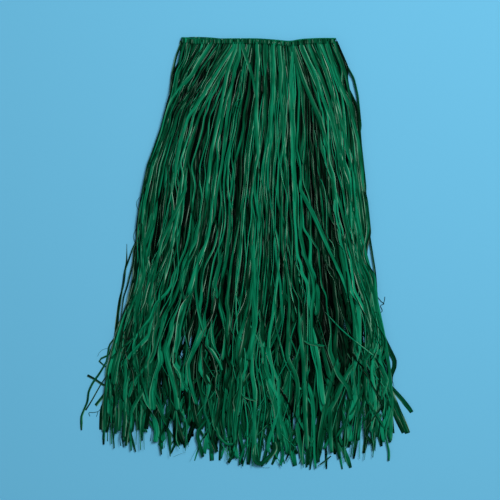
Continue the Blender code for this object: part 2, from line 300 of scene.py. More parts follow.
def hexColour(text, alpha=1.0):
    # sRGB hex to linear
    parts = np.array([int(text[i:i + 2], 16) for i in (1, 3, 5)]) / 255
    linear = np.where(parts <= 0.04045, parts / 12.92, ((parts + 0.055) / 1.055) ** 2.4)
    return (*linear.tolist(), alpha)


def addNode(tree, kind, links={}, values={}, stops=(), **settings):
    # links and values go to inputs, by name or place; stops are a colour ramp's places and colours
    node = tree.nodes.new(kind)
    for key, value in settings.items():
        setattr(node, key, value)
    for place, socket in links.items():
        tree.links.new(socket, node.inputs[place])
    for place, value in values.items():
        node.inputs[place].default_value = value
    for count, (place, colour) in enumerate(stops):
        band = node.color_ramp.elements
        stop = band[count] if count < 2 else band.new(place)
        stop.position, stop.color = place, colour
    return node


def newMaterial(name, values):
    material = bpy.data.materials.new(name)
    material.use_nodes = True
    tree = material.node_tree
    surface = tree.nodes["Principled BSDF"]
    for key, value in values.items():
        surface.inputs[key].default_value = value
    return material, tree, surface


raffiaFinish = {
    "darkest": "#000603",
    "dark": "#002314",
    "middle": "#01462b",
    "bright": "#046a48",
    "brightest": "#10926a",
    # colour of the pale rims: partly the torn edges' own colour, partly a painted highlight
    "tornEdgeAndHighlight": "#a9d6bc",
    "fibreWidth": 0.00045,  # metres, coarser than the real 0.1 mm so that it shows
    "fibreLength": 0.060,
    "fibreShare": 0.40,  # how much the fibres move the tint
    "streakWidth": 0.002,
    "streakLength": 0.040,
    "streakShare": 0.90,
    "shift": 0.61,  # taken off, because streaks and fibres only add
    "rimPower": 3.5,  # the higher, the thinner the pale rim
    "rimBroken": (0.46, 0.62),  # streak noise: no pale rim below the first, a full one above the second
    "roughness": 0.62,
    "specular": 0.02,
    "bump": 0.30,
    "bumpHeight": 0.0002,
}


def dyedRaffia(finish):
    # Split raffia palm leaf, dyed in the bundle and dried: thin flat blades with lengthwise fibres and a
    # dull waxy sheen. The dye takes unevenly along a blade and leaves the torn edges pale and straw-like;
    # that pale rim is partly the torn edge and partly a painted highlight along the blade's edge.
    material, tree, surface = newMaterial("dyed split raffia", {
        "Roughness": finish["roughness"],
        "Specular IOR Level": finish["specular"],
    })
    fibres = addNode(tree, "ShaderNodeUVMap", uv_map="fibres").outputs["UV"]
    tint, age, edge = [addNode(tree, "ShaderNodeAttribute", attribute_name=key).outputs["Fac"]
                       for key in ("tint", "age", "edge")]

    # noise squeezed to one fibre across, and to the wider and softer streaks of uneven dye
    noises = []
    for key, detail in (("fibre", 2.0), ("streak", 3.0)):
        scale = (1 / finish[key + "Width"], 1 / finish[key + "Length"], 1.0)
        squeezed = addNode(tree, "ShaderNodeMapping", {"Vector": fibres}, {"Scale": scale})
        noises.append(addNode(tree, "ShaderNodeTexNoise", {"Vector": squeezed.outputs["Vector"]},
                              {"Scale": 1.0, "Detail": detail}, noise_dimensions="2D").outputs["Fac"])
    fibreNoise, dyeNoise = noises

    # the blade's own tint, moved by the dye streaks and the fibres
    shade = tint
    for noise, share in ((dyeNoise, finish["streakShare"]), (fibreNoise, finish["fibreShare"])):
        shade = addNode(tree, "ShaderNodeMath", {0: noise, 2: shade}, {1: share},
                        operation="MULTIPLY_ADD").outputs[0]
    shade = addNode(tree, "ShaderNodeMath", {0: shade}, {1: finish["shift"]},
                    operation="SUBTRACT", use_clamp=True).outputs[0]
    names = ("darkest", "dark", "middle", "bright", "brightest")
    stops = [(place / 4, hexColour(finish[name])) for place, name in enumerate(names)]
    dye = addNode(tree, "ShaderNodeValToRGB", {"Fac": shade}, stops=stops).outputs["Color"]
    # pale rim, partly the pale torn edge and partly a painted highlight: a thin line at the rim of the older
    # blades, broken up along the blade
    rim = addNode(tree, "ShaderNodeMath", {0: edge}, {1: finish["rimPower"]}, operation="POWER").outputs[0]
    none, whole = finish["rimBroken"]
    broken = addNode(tree, "ShaderNodeMapRange", {"Value": dyeNoise},
                     {"From Min": none, "From Max": whole}).outputs[0]
    torn = addNode(tree, "ShaderNodeMath", {0: broken, 1: age}, operation="MULTIPLY").outputs[0]
    pale = addNode(tree, "ShaderNodeMath", {0: rim, 1: torn}, operation="MULTIPLY", use_clamp=True).outputs[0]
    mixed = addNode(tree, "ShaderNodeMix", {0: pale, 6: dye}, {7: hexColour(finish["tornEdgeAndHighlight"])},
                    data_type="RGBA")
    tree.links.new(mixed.outputs[2], surface.inputs["Base Color"])
    bump = addNode(tree, "ShaderNodeBump", {"Height": fibreNoise},
                   {"Strength": finish["bump"], "Distance": finish["bumpHeight"]})
    tree.links.new(bump.outputs["Normal"], surface.inputs["Normal"])
    return material


raffia = dyedRaffia(raffiaFinish)

# How a layer's blades fan out: share of the width at the waistband, the hip, the knee, the calf and the
# hem, and the share of the blades that are kept there
frontOuterFan = np.array([
    (0.010, 0.000, 0.000, 0.000, 0.000, 0.85), (0.190, 0.022, 0.026, 0.018, 0.030, 0.75),
    (0.345, 0.135, 0.170, 0.100, 0.150, 0.80), (0.365, 0.190, 0.215, 0.145, 0.200, 0.80),
    (0.374, 0.222, 0.245, 0.185, 0.235, 0.80), (0.396, 0.300, 0.325, 0.265, 0.300, 0.92),
    (0.440, 0.380, 0.390, 0.340, 0.370, 0.92), (0.494, 0.470, 0.468, 0.430, 0.450, 0.92),
    (0.600, 0.565, 0.560, 0.550, 0.560, 0.92), (0.705, 0.655, 0.680, 0.715, 0.690, 0.92),
    (0.722, 0.760, 0.790, 0.850, 0.800, 0.90), (0.770, 0.832, 0.865, 0.930, 0.880, 0.85),
    (0.880, 0.903, 0.930, 0.975, 0.945, 0.85), (1.000, 1.000, 1.000, 1.000, 1.000, 0.85),
])
frontInnerFan = np.array([
    (0.000, 0.000, 0.000, 0.000, 0.000, 1.00), (0.300, 0.240, 0.260, 0.240, 0.280, 1.00),
    (0.600, 0.600, 0.610, 0.620, 0.620, 1.00), (1.000, 1.000, 1.000, 1.000, 1.000, 1.00),
])
backFan = np.array([
    (0.000, 0.000, 0.000, 0.000, 0.000, 1.00), (0.450, 0.470, 0.480, 0.470, 0.440, 1.00),
    (1.000, 1.000, 1.000, 1.000, 1.000, 1.00),
])
fanDrops = (0.015, 0.150, 0.310, 0.500, 0.800)

# Each layer's blades, with levels counted from the floor up. The insets keep its side edges inside the
# outline, left and right. Rolls, gather, sway and hollow say how far its blades roll up at the waist, gather
# into clumps, stray sideways and are darkened just below the waistband as painted shade in the gaps; the last
# value says how pale their rims are, partly wear and partly painted highlight. A sort of blade has how many,
# their usual width in metres, how high in the layer they lie and their tint; the inner layers' tints lie near
# the darkest dye, as painted shade deep in the pile.
bladeLayers = [
    {
        "name": "frontOuterBlades",
        "node": "front_outer_strands",
        "level": 3,
        "side": "front",
        "steps": 84,
        "fan": frontOuterFan,
        "insets": (0.004, 0.003),
        "seed": 41,
        "rolls": 1,
        "gather": 1,
        "sway": 1,
        "hollow": 0,
        "wearAndHighlight": 1,
        "sorts": (
            (44, 0.0080, (0.60, 1.00), 0.74), (40, 0.0058, (0.20, 0.90), 0.40),
            (26, 0.0042, (0.10, 0.95), 0.35), (56, 0.0012, (0.40, 1.00), 0.88),
        ),
    },
    {
        "name": "frontInnerBlades",
        "node": "front_inner_strands",
        "level": 2,
        "side": "front",
        "steps": 64,
        "fan": frontInnerFan,
        "insets": (0.003, 0.004),
        "seed": 37,
        "rolls": 0.5,
        "gather": 0.6,
        "sway": 1,
        "hollow": 0.12,
        "wearAndHighlight": 0.4,
        "sorts": (
            (60, 0.0064, (0.50, 1.00), 0.18), (56, 0.0044, (0.10, 0.60), 0.04),
            (20, 0.0012, (0.20, 1.00), 0.50),
        ),
    },
    {
        "name": "backInnerBlades",
        "node": "back_inner_strands",
        "level": 1,
        "side": "back",
        "steps": 54,
        "fan": backFan,
        "insets": (0.012, 0.013),
        "seed": 23,
        "rolls": 0,
        "gather": 0.2,
        "sway": 0.5,
        "hollow": 0,
        "wearAndHighlight": 0.2,
        "sorts": ((96, 0.0080, (0.20, 1.00), 0.02), (60, 0.0040, (0.00, 0.90), 0.06)),
    },
    {
        "name": "backOuterBlades",
        "node": "back_outer_strands",
        "level": 0,
        "side": "back",
        "steps": 54,
        "fan": backFan,
        "insets": (0.010, 0.018),
        "seed": 11,
        "rolls": 0,
        "gather": 0.2,
        "sway": 1,
        "hollow": 0,
        "wearAndHighlight": 1,
        "sorts": ((90, 0.0066, (0.00, 1.00), 0.45), (70, 0.0030, (0.10, 1.00), 0.45)),
    },
]
# How the blades of every layer run, in metres. A pair of drops is where a change starts and where it is full.
# A wander is its size, what it gains where blades are loose, and its wave.
habit = {
    "usualShare": 0.78,  # of the tips, that end up to usualShort above the hem line
    "usualShort": 0.100,
    "mostShort": 0.350,  # of the other tips
    "shortPowers": (1.2, 1.4),  # above 1, more of the usual and of the other tips end low
    "looseDrops": (0.18, 0.62),  # blades run true at the waist and stray further down
    "trueShare": 0.12,  # of the strays, where the blades run true
    "strays": ((0.20, 0.009, 0.3), (0.11, 0.006, 0.0)),  # wave, size and softness
    "strayDrops": (0.0, 0.08),
    "livelySpread": 0.40,
    "liveliest": 1.6,
    "lean": 0.006,  # spread of the sideways lean below the waistband
    "leanDrops": (0.0, 0.15),
    "kinkWaves": (0.040, 0.090),
    "kinkSize": 0.010,
    "kinkDrops": (0.43, 0.65),
    "sprawl": 0.13,  # metres to the side per metre of drop, of the tips that fall to either side
    "sprawlFrom": 0.47,
    "edgeStray": 0.35,  # share of its stray that a blade keeps at the layer's side edge
    "edgeRoom": 0.030,
    "edgeSpill": 0.001,
    "mixing": (0.10, 0.34, 0.09),  # how blades wander in height, as a share of their layer
    "mixingDrops": (0.0, 0.12),
    "levelling": 0.6,  # share of their own height that loose blades lose
    "levels": (0.02, 0.98),
    "droop": (0.25, 0.08),  # of the tips: share of their height, over that length
    "leaving": 0.030,  # over which they rise from the waistband's face
    "threadWidth": 0.002,  # a thinner blade is a thread, which can't roll up
    "widthSpread": 0.24,
    "widthWander": (0.15, 0, 0.09),
    "widest": 0.0110,
    "narrowest": 0.0004,
    "bluntness": (0.55, 1.0),
    "endings": (0.003, 0.012),  # length over which a tip tapers
    "thick": 0.00028,
    "twistSpread": 0.25,
    "twisting": (0.14, 0.36, 0.08),  # radians
    "turns": (  # half turns: chance, length, and the first and last drop that one starts at
        (0.8, 0.045, 0.25, 0.50), (0.7, 0.035, 0.45, 0.74), (0.5, 0.070, 0.10, 0.74),
    ),
    "curl": (0.22, 0.02),  # height of the ridge as a share of the width, at the waist and at the hem
    "curlDrops": (0.10, 0.50),
    "curlWander": (0.04, 0, 0.10),
    "curls": (0.02, 0.40),
}
# How the tint changes along a blade and with its place in the pile. Depth, waistShade and sideShade are
# painted shade: darker lower in the pile, near the waistband and at the pile's side edges
tones = {
    "spread": 0.215,
    "wander": (0.08, 0, 0.12),
    "openDrops": (0.015, 0.105),  # right under the waistband they lie too close for the painted depth shade to show
    "closed": (0.8, 0.62),  # there they go this share of the way to this tint
    "depth": (0.60, 0.65, 0.60),  # painted shade by height in the layer, lower blades darker: everywhere, more once open, less down the pile
    "depthDrops": (0.0, 0.50),
    # where the painted shade in the gaps just below the waistband fades out
    "hollowDrops": (0.08, 0.38),
    "waistShade": 0.18,
    "waistDrops": (0.12, 0.24),
    "sideShade": 0.13,
    "sideRoom": 0.026,
    "sideDrops": (0.40, 0.60),
    "tip": (0.38, 0.30),  # lighter near the hem by this, less this share of the tint, taking back the darker sorts' painted shade
    "tipDrops": (0.55, 0.71),
    "age": (0.5, 0.8),  # mean and spread of how pale the rims are, partly torn edges and partly painted highlight
    "threadAge": 1.0,
    "oldest": 2.0,
    "ageLoss": 0.6,
    "ageDrops": (0.40, 0.65),
}
# drop, and the share of a blade's width that lies open: rolled up at the waist, flat near the hem
rolled = np.array([(0.000, 0.44), (0.100, 0.45), (0.280, 0.52), (0.420, 0.66), (0.560, 1.08)])
flow = {
    "hipEase": 1.35,  # above 1, most of the spreading is done right under the waistband
    "edgeHold": 0.25,  # power by which the clumps die out at the side edges
    "seedTurn": 0.37,
    "slitShare": 0.10,  # of the layer's width, that a slit pushes inward
    # sideways waves that gather blades: size, waves across, waves along, drop by which they are full
    "clumps": (
        (0.0150, 3.0, 1.1, 0.80), (0.0070, 8.0, 2.3, 0.60), (0.0060, 17.0, 3.7, 0.30),
        (0.0060, 27.0, 2.9, 0.16),
    ),
}


def flowShare(layer, rootShare, drop):
    # The share runs through the fan's first five columns, early to the hip and then eased from drop to
    # drop. Slow sideways sines gather the blades into clumps.
    fan = layer["fan"]
    waist, hip, *lower = [lookUp(fan, rootShare, column) for column in range(5)]
    hipPart, *parts = [np.clip((drop - top) / (end - top), 0, 1) for top, end in zip(fanDrops, fanDrops[1:])]
    share = waist + (hip - waist) * (1 - (1 - hipPart) ** flow["hipEase"])
    for before, after, part in zip((hip, *lower), lower, parts):
        share = share + (after - before) * ramp(part)
    inside = np.sin(np.pi * np.clip(share, 0, 1)) ** flow["edgeHold"]
    for size, across, along, full in flow["clumps"]:
        turn = across * share + along * drop / skirt["length"] + flow["seedTurn"] * layer["seed"]
        share = share + layer["gather"] * inside * ramp(drop / full) * size * np.sin(2 * np.pi * turn)
    return share


def flowX(layer, rootShare, drop):
    # the share laid between the layer's side edges, and pushed inward at the slits
    (left, right), below = sideEdges(drop), belowBand(drop)
    left, right = left + layer["insets"][0] * below, right - layer["insets"][1] * below
    share = flowShare(layer, rootShare, drop)
    x = left + (right - left) * share
    for side, middle, reach, depth in slits:
        fromEdge = share if side < 0 else 1 - share
        near = ramp(1 - np.abs(drop - middle) / reach) * ramp(1 - fromEdge / flow["slitShare"])
        x = x - side * depth * near
    return x, left, right


def rootDepth(layer, rootShare):
    # the drop at which a blade leaves the waistband
    bandWidth = skirt["bandRight"] - skirt["bandLeft"] - 2 * skirt["endMargin"]
    x = skirt["bandLeft"] + skirt["endMargin"] + bandWidth * rootShare
    return bandTop(x, layer["side"]) + skirt["bandHeight"] - skirt["rootLift"]


def drift(rng, drop, loose, size, gain, wave):
    # a wander of that size, and more of it where the blades are loose
    return (size + gain * loose) * wander(rng, drop, wave)


def layBlades(layer, rng, count, width, ranks, tone):
    # One sort of blade of a layer: evenly rooted along the waistband, each with its own length, width, place
    # in the pile, sideways wander, twist and curl
    rootLow = layer["fan"][0, 0]
    rootShare = rootLow + (1 - rootLow) * (np.arange(count) + rng.uniform(0.0, 1.0, count)) / count
    kept = rng.random(count) < lookUp(layer["fan"], rootShare, 5)
    rootShare = rootShare[kept][:, None]
    each = rootShare.shape  # one draw for each blade
    rootDrop = rootDepth(layer, rootShare)
    draw, often = rng.random(each), habit["usualShare"]
    usualPower, farPower = habit["shortPowers"]
    usual = habit["usualShort"] * (draw / often) ** usualPower
    seldom = (np.maximum(draw - often, 0) / (1 - often)) ** farPower
    far = habit["usualShort"] + (habit["mostShort"] - habit["usualShort"]) * seldom
    tip = lookUp(hemLine, rootShare) - np.where(draw < often, usual, far)
    drop = rootDrop + (tip - rootDrop) * np.linspace(0, 1, layer["steps"])[None, :]

    # across: the flow, plus lean, strays, kinks and sprawl, with less of them at the side edges
    x, left, right = flowX(layer, rootShare, drop)
    loose = rise(drop, *habit["looseDrops"])
    lively = np.minimum(np.exp(rng.normal(0, habit["livelySpread"], each)), habit["liveliest"])
    lean = rng.normal(0, habit["lean"], each) * rise(drop, *habit["leanDrops"])
    stray = sum(wander(rng, drop, wave, soft) * size for wave, size, soft in habit["strays"])
    kinks = wander(rng, drop, rng.uniform(*habit["kinkWaves"], each), 0.0) * habit["kinkSize"]
    kinks = kinks * rise(drop, *habit["kinkDrops"])
    sprawl = rng.normal(0, habit["sprawl"], each) * np.maximum(drop - habit["sprawlFrom"], 0)
    stray = lean + (stray * (habit["trueShare"] + loose) + kinks) * lively * layer["sway"] + sprawl
    room = np.minimum(x - left, right - x)
    stray = stray * np.clip(habit["edgeStray"] + room / habit["edgeRoom"], 0, 1)
    x = x + stray * rise(drop, *habit["strayDrops"])
    x = np.clip(x, left - habit["edgeSpill"], right + habit["edgeSpill"])

    # height: each keeps its rank in its layer near the waist, and they mix and level out below
    low, high = ranks
    rank = rng.uniform(low, high, each)
    mixing = drift(rng, drop, loose, *habit["mixing"]) * rise(drop, *habit["mixingDrops"])
    level = 0.5 + (rank - 0.5) * (1 - habit["levelling"] * loose) + mixing
    z = pileHeight(x, drop) * (layer["level"] + np.clip(level, *habit["levels"])) / len(bladeLayers)
    droop, length = habit["droop"]
    z = z * (1 - droop * rise(drop, tip - length, tip))
    face = skirt["frontFace"] if layer["side"] == "front" else skirt["backFace"]
    z = face + (z - face) * ramp((drop - rootDrop) / habit["leaving"])

    thread = width < habit["threadWidth"]
    size = width * np.exp(rng.normal(0, habit["widthSpread"], each))
    opened = 1 - layer["rolls"] * (1 - lookUp(rolled, drop))
    breadth = size * (1 if thread else opened) * (1 + drift(rng, drop, loose, *habit["widthWander"]))
    breadth = np.minimum(breadth, habit["widest"])
    blunt = rng.uniform(*habit["bluntness"], each)
    ending = np.clip((tip - drop) / rng.uniform(*habit["endings"], each), 0, 1)
    breadth = np.maximum(breadth * (blunt + (1 - blunt) * ending), habit["narrowest"])

    twist = rng.normal(0, habit["twistSpread"], each) + drift(rng, drop, loose, *habit["twisting"])
    for chance, span, first, last in habit["turns"]:
        place = rng.uniform(first, last, each)
        turned = rng.random(each) < chance
        twist = twist + turned * np.sign(rng.normal(size=each)) * np.pi * ramp((drop - place) / span)
    atWaist, atHem = habit["curl"]
    curl = atWaist + (atHem - atWaist) * rise(drop, *habit["curlDrops"])
    curl = np.clip(curl + drift(rng, drop, loose, *habit["curlWander"]), *habit["curls"])

    # tint: the sort's own, plus painted shade by the blade's height in the layer, and the tones' spread,
    # wander, painted shade and lighter tips
    opening = rise(drop, *tones["openDrops"])
    always, open, below = tones["depth"]
    depth = always + open * opening - below * rise(drop, *tones["depthDrops"])
    depth = (rank - (low + high) / 2) * depth
    # painted shade in the gaps just below the waistband, for the layers that have it
    depth = depth - layer["hollow"] * opening * (1 - rise(drop, *tones["hollowDrops"]))
    if layer["level"] == 0:
        depth = -depth  # of these the lowest lie uppermost, as they show from the back
    tint = tone + depth + rng.normal(0, tones["spread"], each) + drift(rng, drop, loose, *tones["wander"])
    share, closedTint = tones["closed"]
    tint = tint + share * (closedTint - tone) * (1 - opening)
    # painted shade near the waistband and at the pile's side edges
    tint = tint - tones["waistShade"] * (1 - rise(drop, *tones["waistDrops"]))
    atSide = (1 - ramp(room / tones["sideRoom"])) * (1 - rise(drop, *tones["sideDrops"]))
    tint = tint - tones["sideShade"] * atSide
    # near the hem the painted shade of the darker sorts is mostly taken back
    lighter, share = tones["tip"]
    tint = tint + (lighter - share * tone) * rise(drop, *tones["tipDrops"])
    age = rng.normal(*tones["age"], each) + (tones["threadAge"] if thread else 0)
    age = np.clip(age, 0, tones["oldest"]) * layer["wearAndHighlight"]
    age = age * (1 - tones["ageLoss"] * rise(drop, *tones["ageDrops"]))
    return ribbons(toFrame(x, drop, z), breadth, twist, curl, habit["thick"], tint, age)


# Blades drawn from the photo: (column, row) places, width in mm, tint, and how high in the layer
routedBlades = {
    "frontOuterBlades": [
        ([(210, 45), (201, 59), (192, 75), (177, 92), (170, 104), (164, 122), (160, 140)], 7.5, 0.72, 0.97),
        ([(234, 47), (224, 61), (208, 88), (188, 118), (181, 140), (176, 165)], 7.0, 0.76, 0.99),
        ([(235, 50), (215, 85), (200, 115), (188, 150), (178, 200)], 5.0, 0.60, 0.90),
        ([(236, 47), (227, 74), (219, 118), (212, 150), (207, 190)], 7.0, 0.74, 0.96),
        ([(240, 57), (234, 74), (227, 118), (222, 165), (215, 200)], 5.5, 0.70, 0.98),
        ([(243, 48), (249, 66), (253, 78), (256, 96)], 6.5, 0.64, 0.90),
        ([(257, 48), (258, 59), (257, 85), (256, 118), (258, 150)], 7.5, 0.74, 0.95),
        ([(265, 47), (265, 80), (265, 118)], 7.0, 0.52, 0.90),
        ([(273, 50), (274, 66), (273, 97), (270, 130)], 7.5, 0.78, 0.96),
        ([(279, 48), (281, 67), (280, 92), (283, 118), (284, 150)], 7.5, 0.66, 0.92),
        ([(293, 54), (291, 74), (291, 100), (292, 125), (293, 160), (295, 195)], 8.0, 0.80, 0.99),
        ([(293, 48), (296, 60), (303, 80), (319, 118), (328, 150), (334, 190)], 9.0, 0.58, 0.95),
        ([(301, 48), (312, 74), (331, 118), (338, 150)], 7.0, 0.66, 0.97),
        ([(309, 46), (323, 83), (334, 118), (343, 160)], 6.0, 0.62, 0.93),
        ([(318, 44), (326, 74), (340, 118), (350, 160)], 7.0, 0.62, 0.98),
        ([(327, 44), (336, 74), (350, 108), (358, 140), (362, 170)], 7.5, 0.68, 0.97),
        ([(150, 335), (133, 352), (125, 362), (126, 379), (124, 395), (123, 412)], 9.5, 0.82, 0.99),
        ([(172, 330), (166, 350), (168, 364), (175, 391), (177, 410)], 10.0, 0.76, 0.95),
        ([(204, 330), (193, 350), (187, 364), (188, 377), (192, 393), (196, 404)], 9.5, 0.84, 0.99),
        ([(163, 326), (155, 354), (151, 361), (134, 381), (128, 398)], 6.5, 0.74, 0.97),
        ([(160, 362), (156, 374), (153, 393), (154, 410)], 11.0, 0.78, 0.97),
        ([(240, 385), (239, 402), (236, 425), (236, 445)], 7.0, 0.62, 0.97),
        ([(252, 372), (256, 391), (256, 422), (255, 448), (254.5, 462)], 10.5, 0.84, 0.99),
        ([(266, 345), (271, 361), (279, 381), (280, 417), (280, 432)], 5.5, 0.90, 0.98),
        ([(316, 345), (319, 364), (321, 391), (323, 405)], 7.5, 0.95, 0.99),
        ([(330, 352), (338, 374), (348, 388), (351, 400)], 10.0, 0.66, 0.96),
        ([(262, 352), (268, 385), (275, 410), (279, 440)], 9.0, 0.70, 0.90),
        ([(300, 330), (303, 352), (305, 380), (307, 420), (308, 450)], 8.0, 0.68, 0.92),
        ([(220, 262), (214, 285), (219, 305), (226, 330), (222, 360)], 7.0, 0.70, 0.97),
        ([(196, 240), (184, 262), (180, 285), (186, 305), (180, 330)], 7.0, 0.72, 0.98),
        ([(253, 255), (253.5, 275), (254, 300), (255.5, 322), (251.5, 345), (249, 360)], 9.0, 0.74, 0.97),
        ([(300, 235), (304, 256), (311, 275), (313, 290), (311, 310), (312, 335)], 6.5, 0.70, 0.98),
        ([(341, 255), (345, 275), (349, 300), (353, 322), (354, 338)], 9.5, 0.60, 0.96),
        ([(199, 262), (197, 275), (196, 290), (198, 308), (202, 325), (207, 340)], 6.0, 0.74, 0.98),
        ([(152, 225), (144, 246), (145, 275), (138, 300), (135, 330)], 10.0, 0.64, 0.97),
        ([(185, 190), (174, 217), (163, 241), (158, 262), (150, 300)], 6.0, 0.66, 0.96),
        ([(172, 285), (167, 293), (156, 304), (151, 319), (140, 331), (134, 345)], 5.0, 0.80, 0.98),
        ([(150, 315), (139, 332), (121, 349), (116, 365), (113, 385)], 7.0, 0.60, 0.95),
        ([(300, 190), (312, 213), (328, 250), (340, 275), (350, 300), (358, 330)], 6.5, 0.74, 0.98),
        ([(322, 150), (340, 205), (352, 250), (366, 290), (374, 320)], 4.5, 0.62, 0.96),
        ([(184, 43), (181.5, 52), (179, 65), (176, 80), (173, 97), (170, 115)], 5.0, 0.48, 0.90),
        ([(334.5, 42), (338, 53), (343, 66), (346.5, 78), (349, 92), (353, 112)], 5.5, 0.50, 0.90),
    ],
    "backInnerBlades": [
        ([(137.5, 236), (134.8, 249), (133.3, 264.5), (130, 277), (128, 286), (124.2, 297), (122, 312),
          (120.5, 328)], 3.3, 0.24, 0.95),
        ([(138, 238), (132.7, 248.7), (128, 264), (125.6, 271), (124.4, 282), (122, 295), (119, 312),
          (117, 330)], 3.3, 0.28, 0.90),
        ([(181, 43), (176, 56), (172, 74), (170, 95), (167, 112)], 4.5, 0.34, 0.90),
        ([(335.5, 41), (345, 62), (354, 78), (358, 95), (361, 125)], 4.0, 0.40, 0.90),
        ([(364, 196), (368.5, 225), (371.5, 248), (374, 268), (375.5, 288)], 3.4, 0.30, 0.95),
        ([(378, 322), (383, 338), (390.5, 353.5), (394, 360.5), (393.8, 367.5), (390, 376), (388, 410)],
         8.5, 0.34, 0.95),
    ],
    "backOuterBlades": [
        ([(117, 330), (113, 345), (108.5, 356), (98.4, 359.5), (98.6, 362), (106.5, 367.5)],
         4.0, 0.40, 0.95),
        ([(108, 350), (106, 362), (98, 375), (92, 383), (87.4, 392), (86, 402), (79, 417), (78.4, 431)],
         4.6, 0.46, 0.95),
        ([(380, 372), (389, 386), (401, 399), (412, 413)], 11.0, 0.50, 0.95),
        ([(378, 370), (386, 388), (391.5, 400), (397.5, 414), (402.5, 424), (407, 434)], 13.0, 0.44, 0.90),
    ],
}


# How those blades leave their layer's flow for their routes
routed = {
    "moreSteps": 60,
    "rootTries": 400,
    "lowEnd": 0.58,  # a route that ends further down than this ends in the blade's tip
    "shorter": 0.03,  # the other blades end up to this above the hem line
    "rounding": 0.003,  # to either side, over which a route's corners are averaged
    "fadeIn": 0.04,
    "fadeOut": 0.05,
    "looseDrops": (0.15, 0.60),
    "stray": (0.10, 0.4, 0.0020),  # wave, softness and size
    "hidden": 0.3,  # share of its height and width that a blade keeps off its route
    "highest": 0.99,  # place in its layer
    "droop": (0.3, 0.01),  # share of its height that it loses outside the pile's edge, over that length
    "widthShare": 0.95,  # of the width in the table
    "widthWander": (0.12, 0, 0.08),
    "ending": 0.012,
    "bluntness": (0.5, 1.0),
    "twisting": (0.07, 0.35, 0.06),
    "curl": 0.05,
    "curls": (0.02, 0.20),
    "ages": (0.0, 0.9),
    "thick": 0.0003,
}


def rootOf(layer, x, drop):
    # the root share whose flow passes nearest to a place
    tries = np.linspace(layer["fan"][0, 0], 1, routed["rootTries"])
    return tries[np.abs(flowX(layer, tries, np.full(len(tries), drop))[0] - x).argmin()]


def layRouted(layer, rng, rows):
    # Each follows its layer's flow, pulled over to its own route between the route's first and last drop
    drops, xs, fades = [], [], []
    for spots, width, tint, rank in rows:
        routeX, routeDrop = photoRoute(spots)
        top, bottom = routeDrop[0], routeDrop[-1]
        begin, finish = rootOf(layer, routeX[0], top), rootOf(layer, routeX[-1], bottom)
        hem = lookUp(hemLine, finish) - routed["shorter"] * rng.random()
        end = bottom if bottom > routed["lowEnd"] else hem
        drop = np.linspace(rootDepth(layer, begin), end, layer["steps"] + routed["moreSteps"])
        near = drop[:, None] + np.linspace(-routed["rounding"], routed["rounding"], 5)
        own = np.interp(near, routeDrop, routeX).mean(axis=1)
        x = flowX(layer, begin + (finish - begin) * rise(drop, top, bottom), drop)[0]
        fade = 1 - rise(drop, bottom, bottom + routed["fadeOut"])
        if top > routed["fadeIn"]:
            fade = fade * rise(drop, top - routed["fadeIn"], top)
        drops.append(drop)
        fades.append(fade)
        xs.append(x + (own - x) * fade)
    drop, x, fade = np.array(drops), np.array(xs), np.array(fades)
    width, tint, rank = [np.array([row[k] for row in rows])[:, None] for k in (1, 2, 3)]
    loose = rise(drop, *routed["looseDrops"])
    wave, soft, size = routed["stray"]
    x = x + wander(rng, drop, wave, soft) * size * loose
    inside = np.clip(x, *sideEdges(drop))
    shown = routed["hidden"] + (1 - routed["hidden"]) * fade
    level = layer["level"] + np.clip(rank * shown, 0, routed["highest"])
    z = pileHeight(inside, drop) * level / len(bladeLayers)
    droop, length = routed["droop"]
    z = np.maximum(z * (1 - droop * ramp(np.abs(x - inside) / length)), skirt["lowest"])
    breadth = width * mm * routed["widthShare"] * shown
    breadth = breadth * (1 + drift(rng, drop, loose, *routed["widthWander"]))
    ending = np.clip((drop[:, -1:] - drop) / routed["ending"], 0, 1)
    blunt = rng.uniform(*routed["bluntness"], width.shape)
    breadth = breadth * (blunt + (1 - blunt) * ending)
    twist = drift(rng, drop, loose, *routed["twisting"])
    curl = np.clip(routed["curl"] + drift(rng, drop, loose, *habit["curlWander"]), *routed["curls"])
    age = rng.uniform(*routed["ages"], width.shape)
    return ribbons(toFrame(x, drop, z), breadth, twist, curl, routed["thick"], tint, age)


for layer in bladeLayers:
    rng = np.random.default_rng(layer["seed"])
    batches = [layBlades(layer, rng, *sort) for sort in layer["sorts"]]
    if layer["name"] in routedBlades:
        batches.append(layRouted(layer, rng, routedBlades[layer["name"]]))
    layer["piece"] = makePiece(layer["name"], batches, raffia, layer["node"])


# The waistband: heads of raffia looped over a cord, in a ring pressed flat, under a twined rim. Downs are
# shares of the band's height.
waistband = {
    "seed": 5,
    "loops": 128,
    "loopSteps": 13,
    "placeSpread": 0.08,  # of the way from one loop to the next
    "leanSpread": 0.00035,
    "shoulder": 1.5,  # the higher, the sooner a loop reaches the wall's face and runs straight down
    "bulge": 0.0006,
    "bulgeSpread": 0.3,
    "topDown": 0.04,
    "downPower": 1.7,
    "downs": (0.96, 1.06),
    "width": 0.94,  # of the way from one loop to the next
    "narrow": 0.72,  # share of the width that a loop has at its top and foot
    "wider": 0.34,  # what it gains in between
    "widePower": 0.8,  # below 1, it is widest nearer to the top
    "widths": (0.85, 1.1),
    "tint": 0.50,
    "tintSpread": 0.11,
    "age": 0.5,
    "curl": 0.20,
    "thick": 0.0006,
    "ahead": 0.0004,  # how far along the ring a loop's side direction is taken
    # twined lines: radius of each of their two plies, turns, how far out from the wall's middle, down, tint
    "rim": (0.00070, 118, 0.00121, 0.10, 0.76),
    "foot": (0.00036, 150, 0.0020, 0.88, 0.50),
    "turnSteps": 8,
    "plySides": 6,
    "twineAge": 0.3,
    "coreSteps": 220,
    "coreThick": 0.0018,
    "coreDowns": (0.14, 0.95),
    # the core's dark tint is painted shade between the loops
    "coreShadeTint": 0.10,
}


